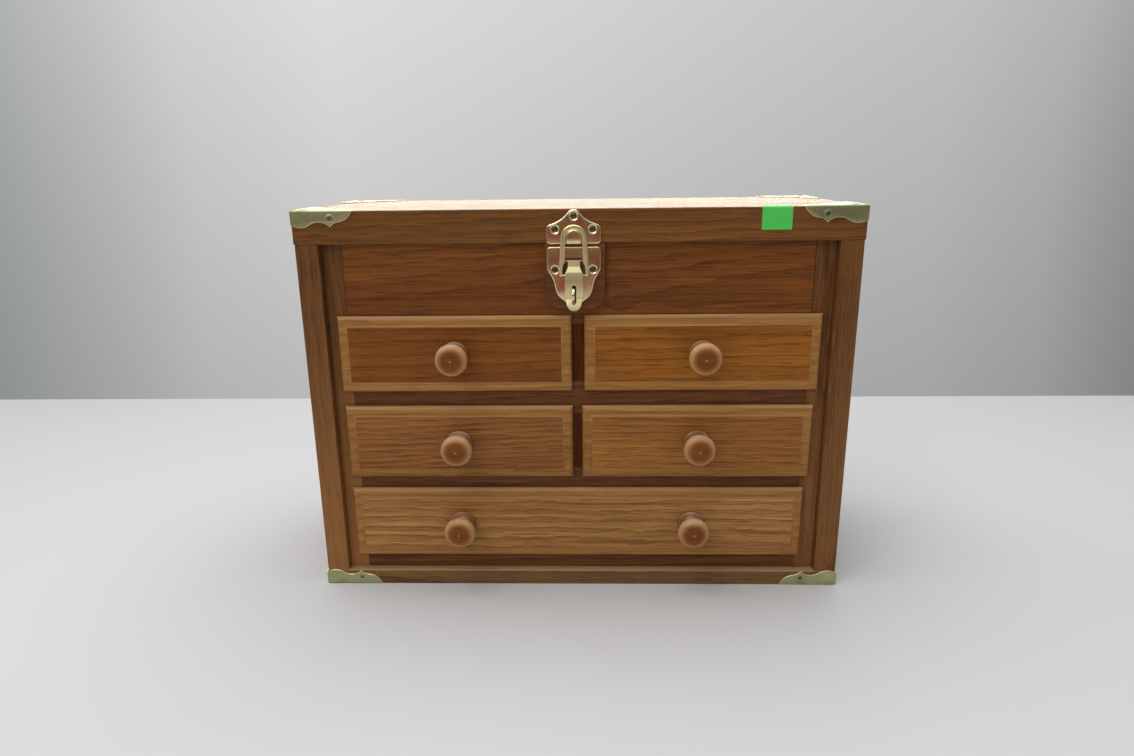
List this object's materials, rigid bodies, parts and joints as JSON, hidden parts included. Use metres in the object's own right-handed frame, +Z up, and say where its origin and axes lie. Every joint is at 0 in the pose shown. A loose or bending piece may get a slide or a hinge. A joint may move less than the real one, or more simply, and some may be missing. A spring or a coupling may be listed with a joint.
{
  "type": "art supply chest",
  "caption": "Wooden box chest with a hinged lid over a till, lipped drawers with turned knobs, brass corners and a draw latch.",
  "frame": {"origin": "centre of the base board's underside, on the surface the chest stands on", "axes": "+X to the right along the drawers, +Y from the drawer fronts to the back, +Z up"},
  "size_m": [0.4068, 0.1884, 0.2948],
  "materials": {
    "case_wood": "satin varnish over open grain",
    "dark_wood": "satin varnish, darker stain",
    "drawer_wood": "satin varnish over open grain",
    "knob_wood": "satin, turned",
    "inner_wood": "plain sanded",
    "corner_brass": "dull antique plate",
    "latch_brass": "bright pressed sheet",
    "hinge_brass": "brushed",
    "screws": "dark, worn",
    "nails": "dull"
  },
  "bodies": {
    "case": {"base_board": "case_wood", "left_side": "case_wood", "right_side": "case_wood", "back_panel": "case_wood", "left_face_stile": "case_wood", "right_face_stile": "case_wood", "till_front": "dark_wood", "till_floor": "inner_wood", "upper_rail": "case_wood", "middle_rail": "case_wood", "lower_rail": "case_wood", "bottom_rail": "case_wood", "mullions": "case_wood", "upper_shelf": "inner_wood", "lower_shelf": "inner_wood", "partitions": "inner_wood", "drawer_guides": "inner_wood", "base_corners": "corner_brass", "base_corner_nails": "nails", "hinge_case_leaves": "hinge_brass", "hinge_case_screws": "screws", "hinge_pins": "hinge_brass", "latch_block": "dark_wood", "latch_base_plate": "latch_brass", "latch_base_screws": "screws", "latch_staple": "latch_brass"},
    "lid": {"lid_top": "case_wood", "lid_front_rail": "case_wood", "lid_back_rail": "case_wood", "lid_left_rail": "case_wood", "lid_right_rail": "case_wood", "lid_corners": "corner_brass", "lid_corner_nails": "nails", "hinge_lid_leaves": "hinge_brass", "hinge_lid_screws": "screws", "latch_catch_plate": "latch_brass", "latch_catch_screws": "screws"},
    "latch_lever": {"latch_lever": "latch_brass"},
    "latch_bail": {"latch_bail": "latch_brass"},
    "upper_left_drawer": {"upper_left_drawer_front": "drawer_wood", "upper_left_drawer_box": "inner_wood", "upper_left_drawer_bottom": "inner_wood", "upper_left_drawer_knob": "knob_wood"},
    "upper_right_drawer": {"upper_right_drawer_front": "drawer_wood", "upper_right_drawer_box": "inner_wood", "upper_right_drawer_bottom": "inner_wood", "upper_right_drawer_knob": "knob_wood"},
    "middle_left_drawer": {"middle_left_drawer_front": "drawer_wood", "middle_left_drawer_box": "inner_wood", "middle_left_drawer_bottom": "inner_wood", "middle_left_drawer_knob": "knob_wood"},
    "middle_right_drawer": {"middle_right_drawer_front": "drawer_wood", "middle_right_drawer_box": "inner_wood", "middle_right_drawer_bottom": "inner_wood", "middle_right_drawer_knob": "knob_wood"},
    "bottom_drawer": {"bottom_drawer_front": "drawer_wood", "bottom_drawer_box": "inner_wood", "bottom_drawer_bottom": "inner_wood", "bottom_drawer_knob": "knob_wood"}
  },
  "joints": [
    {"name": "lid_hinge", "type": "hinge", "parent": "case", "child": "lid", "pos_m": [0, 0.083, 0.27], "axis": [-1, 0, 0], "range_deg": [0, 100]},
    {"name": "lever_lift", "type": "hinge", "parent": "case", "child": "latch_lever", "pos_m": [-0.0022, -0.08065, 0.2575], "axis": [-1, 0, 0], "range_deg": [0, 110]},
    {"name": "bail_swing", "type": "hinge", "parent": "latch_lever", "child": "latch_bail", "pos_m": [-0.0022, -0.08305, 0.2474], "axis": [-1, 0, 0], "range_deg": [-137.5, 0]},
    {"name": "upper_left_drawer_slide", "type": "slide", "parent": "case", "child": "upper_left_drawer", "axis": [0, -1, 0], "range_m": [0, 0.1]},
    {"name": "upper_right_drawer_slide", "type": "slide", "parent": "case", "child": "upper_right_drawer", "axis": [0, -1, 0], "range_m": [0, 0.1]},
    {"name": "middle_left_drawer_slide", "type": "slide", "parent": "case", "child": "middle_left_drawer", "axis": [0, -1, 0], "range_m": [0, 0.1]},
    {"name": "middle_right_drawer_slide", "type": "slide", "parent": "case", "child": "middle_right_drawer", "axis": [0, -1, 0], "range_m": [0, 0.1]},
    {"name": "bottom_drawer_slide", "type": "slide", "parent": "case", "child": "bottom_drawer", "axis": [0, -1, 0], "range_m": [0, 0.1]}
  ],
  "couplings": [
    {"joint": "bail_swing", "follows": "lever_lift", "ratio": -1.25}
  ]
}
